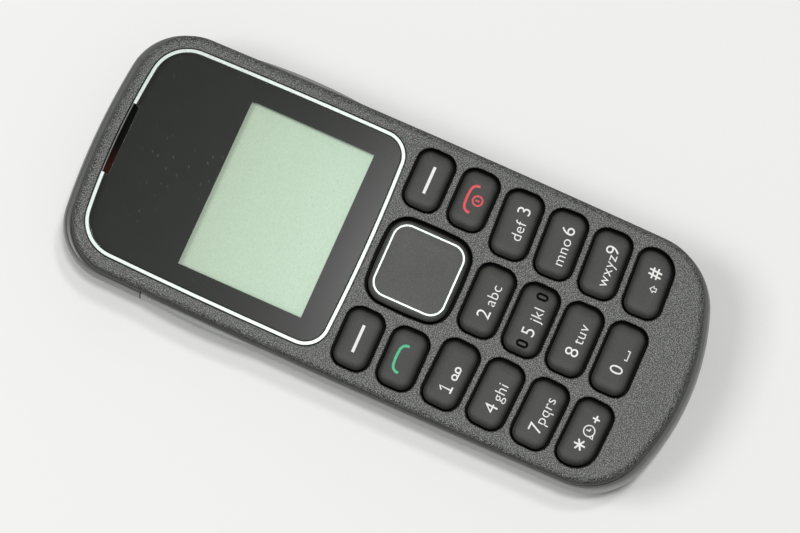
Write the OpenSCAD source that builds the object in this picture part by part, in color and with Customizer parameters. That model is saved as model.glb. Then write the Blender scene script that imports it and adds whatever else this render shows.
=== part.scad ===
// Candy-bar feature phone: a moulded front cover with a display window and rubber keys, a chassis that
// carries the board, a fixed top cap with a torch, and a battery cover that slides off the bottom end.
// +X is the phone's right as its user sees it, +Y its top end and +Z out of the display.
// The phone lies on its back and the origin is under its middle, on the surface it lies on.

/* [Body] */
// Overall length, over the top cap and the battery cover
body_l = 107.2; // [106.8:0.1:108.4]
// Overall width, over the battery cover's grips
body_w = 45.1; // [45:0.1:45.8]
// Height of the front face above the surface
face_z = 14.9; // [14.8:0.1:15.4]
// Radius of the front cover's outer edge
edge_r = 1.2; // [0.8:0.1:1.4]
// How far the rear shell's rounded back edge reaches inwards
back_in = 6; // [4:0.5:7]
// Height of the rear shell's widest line
belt_z = 8.5; // [8.2:0.1:9]
// Where the battery cover ends and the top cap begins, along Y
split_y = 35.5; // [34.5:0.5:36]

/* [Display] */
// Half width of the window trim
window_hw = 19.25; // [18.8:0.05:19.4]
// Upper edge of the window trim, along Y
window_top = 49.7; // [49:0.1:50]
// Lower edge of the window trim, along Y
window_bottom = 4.6; // [4.4:0.1:5.2]
// Width of the bright trim line
trim_w = 0.62; // [0.4:0.02:0.8]
// Clear viewing area of the display, across and along
view_size = [29.7, 21.9]; // [20:0.1:30]
// Half width of the earpiece slot
slot_hw = 6.2; // [4:0.1:7]

/* [Keys] */
// Distance from the middle column to an outer column
column_x = 13.56; // [13.4:0.02:13.7]
// Row spacing of the outer columns
side_pitch = 7.92; // [7.8:0.02:8]
// Row spacing of the middle column
middle_pitch = 7.81; // [7.7:0.01:7.9]
// How far the outer keys turn, so that each row is a shallow bow
key_tilt = 2.7; // [0:0.1:3]
// Gap between a key and its hole
key_gap = 0.42; // [0.34:0.02:0.48]
// How far a key travels
key_travel = 0.4; // [0.2:0.05:0.45]
// How far a key's crown stands over the front face
key_rise = 0.28; // [0.1:0.02:0.4]

/* [Battery] */
// Battery, across, along and thick
battery_size = [34, 53, 5.7]; // [5:0.1:54]

/* [Connectors] */
// Bore radius of the headset socket
jack_r = 1.8; // [1.76:0.01:1.9]
// Depth of the headset socket's bore
jack_depth = 13.6; // [13:0.1:13.8]
// Bore radius of the charger socket
inlet_r = 1.05; // [1:0.01:1.2]

/* [Hidden] */
$fn = 32;
eps = 0.5;

// Steps along each quarter of an outline: side, corner and end arcs
side_steps = 3;
corner_steps = 8;
end_steps = 4;
key_corner_steps = 6;

// Wall thicknesses and the levels of the stack, from the back to the face
front_wall = 1.3;
rear_wall = 1;
seam = 0.2;
parting_z = face_z - 2.2;
rim_z = parting_z - seam;
plate_z = face_z - 1.8;
pocket_z = face_z - 1.2;
mask_t = 0.1;
deck_z = 7.2;
deck_top = deck_z + 0.8;
board_z = 9.4;
board_top = board_z + 0.8;
foil_t = 0.1;
dome_h = 0.3;
lip_top = board_top + 1.3;
flange_t = 0.6;
flange_z = plate_z - 0.2 - flange_t;
plunger_z = board_top + foil_t + dome_h + key_travel + 0.1;

// An outline is a ring of tangent arcs: half width, side radius, height of the widest point, then the top
// edge with its end and corner radii and the bottom edge with its end and corner radii
FRONT = [body_w / 2 - 0.6, 2500, -10, body_l / 2 - 1.65, 120, 9.2, 1.6 - body_l / 2, 42, 10.8];
REAR = [body_w / 2 - 0.3, 2500, -10, body_l / 2, 120, 9.6, -body_l / 2, 42, 11.8];
WINDOW = [window_hw, 1000, 12, window_top, 120, 6.6, window_bottom, 300, 4.3];
NAV = [7.85, 60, 0, 7.68, 60, 3.8, -7.68, 60, 3.8];

// Insets of the pieces from the front cover's outline
rim_in = 1.9;
deck_in = 1.5;
lip_in = 2.3;
lip_t = 0.8;
board_in = 3.3;

// Keys
nav_pos = [0, -4.35];
nav_line = [6.42, 6.34];
nav_line_r = 2.6;
nav_line_w = 0.36;
nav_tilt_z = 12;
nav_ball_r = 1.6;
soft_size = [10.65, 6.8];
soft_x = 14.4;
soft_y = 0.08;
call_y = -7.87;
side_size = [12, 6.9];
side_y = -15.97;
middle_size = [12.6, 6.93];
middle_y = -16.55;
key_r = 2.4;
big_key_r = 3.9;
flange_w = 0.2;
web_gap = 0.12;
marked_key = "key_5";
mark_x = 4.2;
mark_size = [1.25, 2.1];
mark_w = 0.3;
mark_depth = 0.2;
plunger_r = 1.5;
dome_r = 1.9;
digit_names = [["1", "2", "3"], ["4", "5", "6"], ["7", "8", "9"], ["star", "0", "hash"]];

function is_side(col) = col != 0;
function digit_pos(row, col) = is_side(col)
    ? [col * column_x, side_y - row * side_pitch]
    : [0, middle_y - row * middle_pitch];
// The two lowest outer keys have one wide corner, which follows the bottom of the cover
function digit_radii(row, col) = [
    row == 3 && col == -1 ? big_key_r : key_r,
    row == 3 && col == 1 ? big_key_r : key_r,
    key_r,
    key_r
];
// A key is its name, centre, hole size, turn and corner radii from the lower left round to the upper left
KEYS = concat(
    [for (row = [0:3]) for (col = [-1:1]) [
        str("key_", digit_names[row][col + 1]),
        digit_pos(row, col),
        is_side(col) ? side_size : middle_size,
        col * key_tilt,
        digit_radii(row, col)
    ]],
    [for (side = [-1, 1]) [
        side < 0 ? "key_soft_left" : "key_soft_right",
        [side * soft_x, soft_y], soft_size, 0, [key_r, key_r, key_r, key_r]
    ]],
    [for (side = [-1, 1]) [
        side < 0 ? "key_call" : "key_end",
        [side * soft_x, call_y], soft_size, 0, [key_r, key_r, key_r, key_r]
    ]]
);
nav_domes = [for (a = [0:90:270]) nav_pos + 4.6 * [cos(a), sin(a)]];
light_size = [1.6, 0.9];
light_pos = [for (x = [-7, 7]) for (row = [0:2]) [x, side_y - (row + 0.5) * side_pitch]];

// Screws go up through the deck into bosses of the front cover
screw_r = 0.75;
screw_head_r = 1.6;
boss_r = 2;
boss_pos = [[-15.6, 45.6], [15.6, 45.6], [-12.8, -45.9], [12.8, -45.9]];
board_posts = [for (x = [-16.9, 16.9]) for (y = [-26, 0, 28]) [x, y]];

can_boxes = [[[-14.2, 20], [14.2, 43.5]], [[-14.2, -30], [14.2, 17]]];
can_t = 0.3;

// Display stack on the board
view_y = 21;
lcd_size = [32.6, 26.4];
lcd_frame_size = [34.8, 29.2];
lcd_y = 21.7;
lcd_seat_z = board_top + 1.2;
lcd_t = 1.3;
slot_y = [48.45, 49.9];
slot_r = 0.4;
trim_lip = [0.16, 0.95];
receiver_size = [12, 5.6];
receiver_y = 45.5;

// Pieces under the deck, at the top end
speaker_pos = [1.2, 43.5];
speaker_size = [16.4, 10.8];
speaker_z = 3;
gasket_size = [13, 7];
grille_count = 5;
grille_pitch = 1.4;
grille_slot = [9, 0.8];
vibra_x = 15;
vibra_r = 1.9;
vibra_y = [36, 40.8];
vibra_weight_y = [41.3, 43.6];
vibra_shaft_r = 0.4;
antenna_box = [[-18.5, 37.5], [-10.6, 48.5]];
cap_posts = [[-8.8, 46.3], [11.2, 46.3]];
torch_r = 1.7;
torch_z = 7;
torch_back = body_l / 2 - 2.6;
torch_rim = [0.4, 0.55];
sim_box = [[-14, 21.2], [13, 34.8]];

// Battery bay
bay_gap = 0.3;
bay_wall = 0.9;
bay_z = 2.4;
battery_y = -7.55;
battery_z = deck_z - battery_size.z;
contact_x = 11.5;
contact_w = 9;

// Connectors at the bottom end, with their axes at one height
port_z = 5.6;
port_y = 3.9 - body_l / 2;
port_drop = 2.3;
jack_x = 6.5;
jack_size = [5.6, 14.2];
inlet_x = -6.5;
inlet_size = [5, 9];
inlet_depth = 6.5;
inlet_pin_r = 0.25;
mic_y = -45.4;
jack_hole_r = 2.9;
inlet_hole_r = 1.9;
mic_hole_r = 0.5;

// Battery cover: proud grips on its sides and hooks over the deck's edge, with the top cap's tongues behind it
grip_r = 92;
grip_y = 23.5;
grip_l = 22;
grip_z = [9.2, 12.2];
grip_steps = 12;
rim_flare = 0.25;
hook_x = 19.85;
hook_ys = [18, -6, -28];
hook_size = [1.6, 6];
tongue_x = 9;
tongue_size = [7, 5];

// Colours
cover_grey = "#5c5e5c";
shell_grey = "#7d807c";
key_grey = "#474743";
plain_black = "#1b1b1b";
bright = "#e8e9e8";
steel = "#b9bbb8";

// Where two circles meet, on the left of the line from the first centre to the second
function meet(c1, r1, c2, r2) =
    let (
        d = norm(c2 - c1),
        u = (c2 - c1) / d,
        a = (r1 * r1 - r2 * r2 + d * d) / (2 * d),
        h = sqrt(r1 * r1 - a * a)
    )
    c1 + a * u + h * [-u.y, u.x];

function angle_of(v) = atan2(v.y, v.x);
function arc(c, r, from, to, steps) =
    [for (i = [0:steps - 1]) let (a = from + (to - from) * i / steps) c + r * [cos(a), sin(a)]];

// A quarter of an outline from its widest point to the middle of its end, moved inwards by d
function quarter(hw, side_r, wide_y, end_y, end_r, corner_r, d) =
    let (
        side_c = [hw - side_r, wide_y],
        end_c = [0, end_y - end_r],
        corner_c = meet(side_c, side_r - corner_r, end_c, end_r - corner_r),
        turn_1 = angle_of(corner_c - side_c),
        turn_2 = angle_of(corner_c - end_c)
    )
    concat(
        arc(side_c, side_r - d, 0, turn_1, side_steps),
        arc(corner_c, corner_r - d, turn_1, turn_2, corner_steps),
        arc(end_c, end_r - d, turn_2, 90, end_steps),
        [[0, end_y - d]]
    );

// The whole outline, anticlockwise from the middle of its bottom edge
function outline(o, d = 0) =
    let (
        upper = quarter(o[0], o[1], o[2], o[3], o[4], o[5], d),
        lower = quarter(o[0], o[1], -o[2], -o[6], o[7], o[8], d),
        right = concat([for (i = [len(lower) - 1:-1:1]) [lower[i].x, -lower[i].y]], upper)
    )
    concat(right, [for (i = [len(right) - 2:-1:1]) [-right[i].x, right[i].y]]);

// A rounded rectangle with its own radius at each corner, moved inwards by d
function round_rect(size, radii, d = 0) =
    [for (i = [0:3])
        let (
            r = max(radii[i] - d, 0.3),
            sx = i == 1 || i == 2 ? 1 : -1,
            sy = i > 1 ? 1 : -1,
            c = [sx * (size.x / 2 - d - r), sy * (size.y / 2 - d - r)]
        )
        for (j = [0:key_corner_steps])
            let (a = 180 + 90 * i + 90 * j / key_corner_steps) c + r * [cos(a), sin(a)]];

function placed(points, pos, turn = 0) =
    [for (p = points) pos + [p.x * cos(turn) - p.y * sin(turn), p.x * sin(turn) + p.y * cos(turn)]];
function key_outline(k, d = 0) = placed(round_rect(k[2], k[4], d), k[1], k[3]);
function nav_outline(d = 0) = placed(outline(NAV, d), nav_pos);
function rear_outline(flare, d) = outline(FRONT, d) * (1 - flare) + outline(REAR, d) * flare;
function flare_at(a) = rim_flare + (1 - rim_flare) * cos(a);
function at_z(points, z) = [for (p = points) [p.x, p.y, z]];

// A solid through a row of rings with equal point counts, closed on itself or capped at both ends
module loft(rings, closed = false) {
    n = len(rings[0]);
    m = len(rings);
    last = closed ? m - 1 : m - 2;
    sides = [for (k = [0:last]) for (i = [0:n - 1])
        let (j = (i + 1) % n, up = (k + 1) % m)
        each [[k * n + i, up * n + i, up * n + j], [k * n + i, up * n + j, k * n + j]]];
    caps = [[for (i = [0:n - 1]) i], [for (i = [n - 1:-1:0]) (m - 1) * n + i]];
    polyhedron([for (r = rings) each r], closed ? sides : concat(sides, caps));
}

// A prism between two heights
module prism(points, z0, z1) {
    translate([0, 0, z0])
        linear_extrude(z1 - z0)
            polygon(points);
}

// A box from a pair of opposite corners in plan, between two heights
module box(corners, z0, z1) {
    translate([corners[0].x, corners[0].y, z0])
        cube([corners[1].x - corners[0].x, corners[1].y - corners[0].y, z1 - z0]);
}

function centred(pos, size) = [pos - size / 2, pos + size / 2];

// A cylinder along Y, from one place to another
module rod_y(x, z, r, y0, y1) {
    translate([x, y0, z])
        rotate([-90, 0, 0])
            cylinder(r = r, h = y1 - y0);
}

module key_holes(d) {
    for (k = KEYS)
        polygon(key_outline(k, -d));
    polygon(nav_outline(-d));
}

// The front cover's outer wall and rounded edge, as one ring-shaped loft
module front_rim() {
    edge = [for (a = [0:15:90]) [edge_r * (1 - cos(a)), face_z - edge_r * (1 - sin(a))]];
    profile = concat(
        [[0, parting_z]],
        edge,
        [[rim_in, face_z], [rim_in, plate_z], [front_wall, plate_z], [front_wall, parting_z]]
    );
    loft([for (p = profile) at_z(outline(FRONT, p[0]), p[1])], true);
}

module slot_outline(d) {
    radii = [slot_r, slot_r, slot_r, slot_r];
    polygon(placed(round_rect([2 * slot_hw, slot_y[1] - slot_y[0]], radii, -d), [0, (slot_y[0] + slot_y[1]) / 2]));
}

// The face: a lower layer that carries the window, and an upper one with the window's pocket
module front_face() {
    translate([0, 0, plate_z])
        linear_extrude(pocket_z - plate_z)
            difference() {
                polygon(outline(FRONT, rim_in));
                key_holes(0);
                polygon(placed(round_rect(view_size + [1.6, 1.6], [1, 1, 1, 1]), [0, view_y]));
                slot_outline(0.05);
            }
    translate([0, 0, pocket_z])
        linear_extrude(face_z - pocket_z)
            difference() {
                polygon(outline(FRONT, rim_in));
                key_holes(0);
                polygon(outline(WINDOW, -0.1));
                slot_outline(0);
            }
}

module front_cover() {
    color(cover_grey)
        difference() {
            union() {
                front_rim();
                front_face();
                for (p = boss_pos)
                    translate([p.x, p.y, deck_top])
                        cylinder(r = boss_r, h = plate_z - deck_top + 0.2);
            }
            for (p = boss_pos)
                translate([p.x, p.y, deck_top - eps])
                    cylinder(r = screw_r + 0.05, h = plate_z - deck_top);
        }
}

// The trim ring, of which only a low lip runs on past the earpiece slot
module window_trim() {
    color(bright)
        translate([0, 0, pocket_z])
            union() {
                linear_extrude(face_z + 0.1 - pocket_z)
                    difference() {
                        polygon(outline(WINDOW));
                        polygon(outline(WINDOW, trim_w));
                        slot_outline(0.05);
                    }
                linear_extrude(trim_lip[1])
                    difference() {
                        polygon(outline(WINDOW));
                        polygon(outline(WINDOW, trim_lip[0]));
                    }
            }
}

module window_sheet() {
    difference() {
        polygon(outline(WINDOW, trim_w + 0.03));
        slot_outline(0.1);
    }
}

module display_window() {
    color([0.2, 0.22, 0.22, 0.5])
        translate([0, 0, pocket_z + mask_t])
            linear_extrude(face_z - pocket_z - mask_t)
                window_sheet();
}

module window_mask() {
    color(plain_black)
        translate([0, 0, pocket_z])
            linear_extrude(mask_t)
                difference() {
                    window_sheet();
                    polygon(placed(round_rect(view_size, [0.5, 0.5, 0.5, 0.5]), [0, view_y]));
                }
}

module earpiece_mesh() {
    color(plain_black)
        translate([0, 0, plate_z - 0.2])
            linear_extrude(0.2)
                slot_outline(0.4);
}

module earpiece_receiver() {
    color(steel)
        prism(placed(round_rect(receiver_size, [1.5, 1.5, 1.5, 1.5]), [0, receiver_y]), board_top, plate_z - 0.2);
}

module lcd_frame() {
    color("white")
        difference() {
            box(centred([0, lcd_y], lcd_frame_size), board_top, lcd_seat_z + lcd_t - 0.2);
            box(centred([0, lcd_y], lcd_size + [0.2, 0.2]), lcd_seat_z, plate_z);
        }
}

module lcd_glass() {
    color("#c3d5bf")
        box(centred([0, lcd_y], lcd_size), lcd_seat_z, lcd_seat_z + lcd_t);
}

module lcd_gasket() {
    color(plain_black)
        difference() {
            box(centred([0, lcd_y], lcd_size), lcd_seat_z + lcd_t, plate_z);
            box(centred([0, view_y], view_size + [0.8, 0.8]), board_z, face_z);
        }
}

// One key: a pillow cap through the cover, a flange that keeps it in and a plunger over its dome
module rubber_key(k) {
    cap = [[0, flange_z], [0, face_z - 1.2], [0.16, face_z - 0.5], [0.38, face_z + 0.2 * key_rise],
        [0.58, face_z + 0.7 * key_rise], [1.2, face_z + key_rise]];
    color(key_grey)
        difference() {
            union() {
                loft([for (p = cap) at_z(key_outline(k, key_gap + p[0]), p[1])]);
                prism(key_outline(k, -flange_w), flange_z, flange_z + flange_t);
                translate([k[1].x, k[1].y, plunger_z])
                    cylinder(r = plunger_r, h = flange_z - plunger_z + 0.1);
            }
            if (k[0] == marked_key)
                for (side = [-1, 1])
                    finger_mark(k[1] + [side * mark_x, 0]);
        }
}

// A ring-shaped groove in a key's crown, which the finger feels
module finger_mark(pos) {
    radii = [for (i = [0:3]) mark_size.x / 2 - 0.01];
    translate([0, 0, face_z + key_rise - mark_depth])
        linear_extrude(1)
            difference() {
                polygon(placed(round_rect(mark_size, radii), pos));
                polygon(placed(round_rect(mark_size, radii, mark_w), pos));
            }
}

// The rubber web between the keys, with a rib that stands on the chassis lip
module keypad_mat() {
    color(plain_black)
        difference() {
            union() {
                prism(outline(FRONT, front_wall + 0.2), flange_z, plate_z);
                difference() {
                    prism(outline(FRONT, lip_in), lip_top, flange_z + 0.1);
                    prism(outline(FRONT, lip_in + lip_t), lip_top - eps, flange_z + eps);
                }
            }
            translate([0, 0, lip_top - eps])
                linear_extrude(face_z - lip_top)
                    key_holes(flange_w + web_gap);
            box([[-body_w, window_bottom + 0.9], [body_w, body_l]], lip_top - eps, face_z);
            for (p = boss_pos)
                translate([p.x, p.y, lip_top - eps])
                    cylinder(r = boss_r + 0.2, h = face_z - lip_top);
        }
}

module nav_key() {
    cap = [[0, flange_z - 0.3], [0, face_z - 1], [0.18, face_z - 0.4], [0.42, face_z],
        [0.75, face_z + 0.12], [1.6, face_z + 0.2]];
    color(key_grey)
        difference() {
            union() {
                loft([for (p = cap) at_z(nav_outline(key_gap + 0.1 + p[0]), p[1])]);
                prism(nav_outline(-flange_w), flange_z - 0.3, flange_z);
                for (p = nav_domes)
                    translate([p.x, p.y, plunger_z])
                        cylinder(r = 1.2, h = flange_z - plunger_z);
            }
            translate([nav_pos.x, nav_pos.y, flange_z - 2])
                cylinder(r = nav_ball_r + 0.6, h = nav_tilt_z + nav_ball_r + 0.1 - flange_z + 2);
            translate([0, 0, face_z])
                linear_extrude(1)
                    nav_line_shape();
        }
}

module nav_line_shape() {
    radii = [for (i = [0:3]) nav_line_r];
    difference() {
        polygon(placed(round_rect(2 * nav_line, radii), nav_pos));
        polygon(placed(round_rect(2 * nav_line, radii, nav_line_w), nav_pos));
    }
}

module nav_key_trim() {
    color(bright)
        translate([0, 0, face_z])
            linear_extrude(0.24)
                nav_line_shape();
}

// The ball-footed post under the navigation key, which rocks up and down while the key rocks sideways on it
module nav_key_stem() {
    color(plain_black)
        translate([nav_pos.x, nav_pos.y, nav_tilt_z])
            union() {
                sphere(r = nav_ball_r);
                cylinder(r = 1.2, h = 1.35);
            }
}

module dome_sheet() {
    color("#d8d3b0")
        difference() {
            box([[-17.5, -43], [17.5, 5.4]], board_top, board_top + foil_t);
            for (p = light_pos)
                box(centred(p, light_size + [0.4, 0.4]), board_z, face_z);
            translate([nav_pos.x, nav_pos.y, board_z])
                cylinder(r = nav_ball_r, h = face_z);
        }
}

module dome_switches() {
    color(steel)
        for (p = concat([for (k = KEYS) k[1]], nav_domes))
            translate([p.x, p.y, board_top + foil_t])
                cylinder(r1 = dome_r, r2 = dome_r - 0.8, h = dome_h);
}

module key_lights() {
    color("white")
        for (p = light_pos)
            box(centred(p, light_size), board_top, board_top + 0.6);
}

module main_board() {
    color("#1f5d3a")
        difference() {
            prism(outline(FRONT, board_in), board_z, board_top);
            for (p = boss_pos)
                translate([p.x, p.y, board_z - eps])
                    cylinder(r = boss_r + 0.3, h = 2);
        }
}

// Drawn steel lids over the two circuit areas under the board, open towards it
module shield_cans() {
    color(steel)
        for (c = can_boxes)
            difference() {
                box(c, deck_top + 0.1, board_z);
                box([c[0] + [can_t, can_t], c[1] - [can_t, can_t]], deck_top + 0.1 + can_t, board_z + eps);
            }
}

module microphone() {
    color(steel)
        translate([0, mic_y, deck_top])
            cylinder(r = 2, h = board_z - deck_top);
}

module port_block(x, size) {
    box([[x - size.x / 2, port_y], [x + size.x / 2, port_y + size.y]], port_z - port_drop, board_z);
}

module charger_socket() {
    color(plain_black)
        union() {
            difference() {
                port_block(inlet_x, inlet_size);
                rod_y(inlet_x, port_z, inlet_r, port_y - eps, port_y + inlet_depth);
            }
            rod_y(inlet_x, port_z, inlet_pin_r, port_y + 1, port_y + inlet_depth + eps);
        }
}

module headset_socket() {
    color(plain_black)
        difference() {
            port_block(jack_x, jack_size);
            rod_y(jack_x, port_z, jack_r, port_y - eps, port_y + jack_depth);
        }
}

module port_clearance(x, size) {
    box([[x - size.x / 2 - 0.2, port_y - 5], [x + size.x / 2 + 0.2, port_y + size.y + 0.2]], 0, board_z + 0.1);
}

// The deck with its lip, board posts and battery bay
module chassis() {
    bay = [battery_size.x + 2 * bay_gap, battery_size.y + 2 * bay_gap];
    bay_walls = [2 * bay_wall, 2 * bay_wall];
    color("#2c2d2d")
        difference() {
            union() {
                prism(outline(FRONT, deck_in), deck_z, deck_top);
                difference() {
                    prism(outline(FRONT, lip_in), deck_z, lip_top);
                    prism(outline(FRONT, lip_in + lip_t), deck_top, face_z);
                }
                difference() {
                    box(centred([0, battery_y], bay + bay_walls), bay_z, deck_z + 0.1);
                    box(centred([0, battery_y], bay), 0, deck_z);
                }
                for (p = board_posts)
                    translate([p.x, p.y, deck_top - 0.1])
                        cylinder(r = 1.3, h = board_z - deck_top + 0.1);
            }
            for (p = boss_pos) {
                translate([p.x, p.y, deck_top])
                    cylinder(r = boss_r + 0.3, h = face_z);
                translate([p.x, p.y, 0])
                    cylinder(r = screw_r + 0.15, h = face_z);
            }
            port_clearance(jack_x, jack_size);
            port_clearance(inlet_x, inlet_size);
            box([[-2.2, 48.4], [2.2, body_l]], 0, board_z + 0.1);
            box(centred([contact_x, battery_y + battery_size.y / 2 + 1], [contact_w + 0.2, 3]), 0, deck_z);
        }
}

// The rear shell as one loft: up the outside from the flat back, over the rim and down the inside
module rear_shell() {
    rise = rim_z - belt_z;
    outer = concat(
        [for (b = [90:-15:0]) [1, back_in * (1 - cos(b)), belt_z * (1 - sin(b))]],
        [for (a = [22.5:22.5:90]) [flare_at(a), 0, belt_z + rise * sin(a)]]
    );
    inner = concat(
        [for (a = [90:-22.5:0]) [flare_at(a), rear_wall, belt_z + rise * sin(a)]],
        [for (b = [15:15:90]) [1, rear_wall + (back_in - 1) * (1 - cos(b)), belt_z - (belt_z - rear_wall) * sin(b)]]
    );
    loft([for (p = concat(outer, inner)) at_z(rear_outline(p[0], p[1]), p[2])]);
}

module top_cap() {
    color(shell_grey)
        difference() {
            union() {
                intersection() {
                    rear_shell();
                    box([[-body_w, split_y + seam], [body_w, body_l]], -eps, face_z);
                }
                for (p = cap_posts)
                    translate([p.x, p.y, rear_wall / 2])
                        cylinder(r = 1.1, h = deck_z - rear_wall / 2);
                for (side = [-1, 1]) {
                    box(centred([side * tongue_x, split_y + seam + 1.5], [tongue_size.x, 2.4]),
                        rear_wall - 0.3, rear_wall + 1);
                    box(centred([side * tongue_x, split_y], tongue_size), rear_wall + 0.25, rear_wall + 1);
                }
            }
            rod_y(0, torch_z, torch_r + 0.05, body_l / 2 - 6, body_l / 2 + 1);
            for (i = [0:grille_count - 1])
                box(centred(speaker_pos + [0, (i - (grille_count - 1) / 2) * grille_pitch], grille_slot),
                    -eps, rear_wall + 0.2);
        }
}

module torch_lens() {
    color("#e9eef2")
        union() {
            rod_y(0, torch_z, torch_r, torch_back, body_l / 2 - 0.25);
            rod_y(0, torch_z, torch_r + torch_rim[0], torch_back, torch_back + torch_rim[1]);
        }
}

module torch_led() {
    color("#f2e7a0")
        union() {
            box([[-1.75, 49.2], [1.75, torch_back]], torch_z - 1.4, board_z - 0.6);
            box([[-1.75, 47.4], [1.75, 50.6]], board_z - 0.9, board_z);
        }
}

module loudspeaker() {
    color("#3a3a3a")
        prism(placed(round_rect(speaker_size, [2, 2, 2, 2]), speaker_pos), speaker_z, deck_z);
}

module speaker_gasket() {
    radii = [1.5, 1.5, 1.5, 1.5];
    color(plain_black)
        translate([0, 0, rear_wall])
            linear_extrude(speaker_z - rear_wall)
                difference() {
                    polygon(placed(round_rect(gasket_size, radii), speaker_pos));
                    polygon(placed(round_rect(gasket_size, radii, 1), speaker_pos));
                }
}

module antenna() {
    color("#c9a860")
        difference() {
            intersection() {
                box(antenna_box, deck_z - 0.4, deck_z);
                prism(outline(FRONT, 3), 0, face_z);
            }
            translate([boss_pos[0].x, boss_pos[0].y, 0])
                cylinder(r = screw_head_r + 0.4, h = face_z);
        }
}

module vibration_motor() {
    color(steel)
        difference() {
            rod_y(vibra_x, deck_z - vibra_r, vibra_r, vibra_y[0], vibra_y[1]);
            rod_y(vibra_x, deck_z - vibra_r, vibra_shaft_r + 0.05, vibra_y[1] - 2, vibra_y[1] + eps);
        }
}

// The motor's off-centre weight with its shaft
module vibration_weight() {
    z = deck_z - vibra_r;
    r = vibra_r - 0.3;
    color("#8d8f90")
        union() {
            rod_y(vibra_x, z, vibra_shaft_r, vibra_y[1] - 1.8, vibra_weight_y[1]);
            difference() {
                rod_y(vibra_x, z, r, vibra_weight_y[0], vibra_weight_y[1]);
                box([[vibra_x - 3, vibra_weight_y[0] - eps], [vibra_x + 3, vibra_weight_y[1] + eps]], z + 0.2, z + 3);
            }
        }
}

// A folded steel cage with the card's slot
module sim_holder() {
    color(steel)
        difference() {
            box(sim_box, deck_z - 1.5, deck_z);
            box([sim_box[0] + [1, -eps], sim_box[1] - [1, 1]], deck_z - 1.2, deck_z - 0.35);
            box([sim_box[0] + [4, -eps], sim_box[1] - [4, 4]], 0, deck_z - 0.8);
        }
}

module battery() {
    color("#30343a")
        prism(placed(round_rect([battery_size.x, battery_size.y], [1.5, 1.5, 1.5, 1.5]), [0, battery_y]),
            battery_z, deck_z);
}

module battery_contacts() {
    end_y = battery_y + battery_size.y / 2;
    color("#c9a860")
        union() {
            box([[contact_x - contact_w / 2, end_y + 0.45], [contact_x + contact_w / 2, end_y + 2]],
                deck_z - 4, deck_z);
            for (i = [-1:1])
                box([[contact_x + 3 * i - 0.5, end_y], [contact_x + 3 * i + 0.5, end_y + 0.6]],
                    deck_z - 3, deck_z - 2);
        }
}

module screws() {
    color(steel)
        for (p = boss_pos)
            translate([p.x, p.y, deck_z - 1])
                union() {
                    cylinder(r = screw_head_r, h = 1);
                    cylinder(r = screw_r, h = 5);
                }
}

module side_grip(side) {
    reach = asin(grip_l / 2 / grip_r);
    bow = arc([body_w / 2 - grip_r, grip_y], grip_r, -reach, reach, grip_steps);
    ends = [for (d = [[0, 0.5], [-0.6, 0.5], [-0.6, -0.5]]) [bow[0].x + d.x, grip_y + d.y * grip_l]];
    prism([for (p = concat(bow, ends)) [side * p.x, p.y]], grip_z[0], grip_z[1]);
}

// The sliding cover: the rest of the rear shell, with its grips and hooks
module battery_cover() {
    color(shell_grey)
        difference() {
            union() {
                intersection() {
                    rear_shell();
                    box([[-body_w, -body_l], [body_w, split_y]], -eps, face_z);
                }
                for (side = [-1, 1]) {
                    side_grip(side);
                    for (y = hook_ys)
                        box(centred([side * (hook_x + hook_size.x / 2), y], hook_size),
                            deck_top + 0.2, deck_top + 0.9);
                }
            }
            rod_y(jack_x, port_z, jack_hole_r, -body_l, port_y);
            rod_y(inlet_x, port_z, inlet_hole_r, -body_l, port_y);
            rod_y(0, port_z, mic_hole_r, -body_l, port_y);
        }
}

front_cover();
window_trim();
display_window();
window_mask();
earpiece_mesh();
earpiece_receiver();
lcd_glass();
lcd_frame();
lcd_gasket();
keypad_mat();
for (k = KEYS)
    rubber_key(k);
nav_key();
nav_key_trim();
nav_key_stem();
dome_sheet();
dome_switches();
key_lights();
main_board();
shield_cans();
microphone();
charger_socket();
headset_socket();
chassis();
top_cap();
torch_lens();
torch_led();
loudspeaker();
speaker_gasket();
antenna();
vibration_motor();
vibration_weight();
sim_holder();
battery();
battery_contacts();
screws();
battery_cover();
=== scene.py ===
import math
from collections import namedtuple
from functools import partial

import bmesh
import bpy
from mathutils import Matrix, Vector
from mathutils.bvhtree import BVHTree


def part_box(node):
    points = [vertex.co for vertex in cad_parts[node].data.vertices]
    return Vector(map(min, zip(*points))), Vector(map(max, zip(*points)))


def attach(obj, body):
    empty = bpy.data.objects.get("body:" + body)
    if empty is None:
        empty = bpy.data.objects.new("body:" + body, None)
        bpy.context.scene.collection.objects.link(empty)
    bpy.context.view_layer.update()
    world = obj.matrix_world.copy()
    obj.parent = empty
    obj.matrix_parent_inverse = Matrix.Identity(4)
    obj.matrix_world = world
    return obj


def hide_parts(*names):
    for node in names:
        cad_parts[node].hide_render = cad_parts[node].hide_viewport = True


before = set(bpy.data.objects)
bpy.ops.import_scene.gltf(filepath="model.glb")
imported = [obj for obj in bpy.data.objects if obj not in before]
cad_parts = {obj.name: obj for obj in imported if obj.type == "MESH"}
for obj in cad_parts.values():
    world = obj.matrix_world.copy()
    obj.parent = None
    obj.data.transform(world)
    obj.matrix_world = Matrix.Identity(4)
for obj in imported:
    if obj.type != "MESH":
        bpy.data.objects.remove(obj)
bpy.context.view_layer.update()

# Pieces are modelled in millimetres, and each finished mesh is scaled to metres
MM = 0.001


def node_box(name):
    """A CAD node's lowest and highest corners, in millimetres."""
    low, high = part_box(name)
    return low / MM, high / MM


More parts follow.
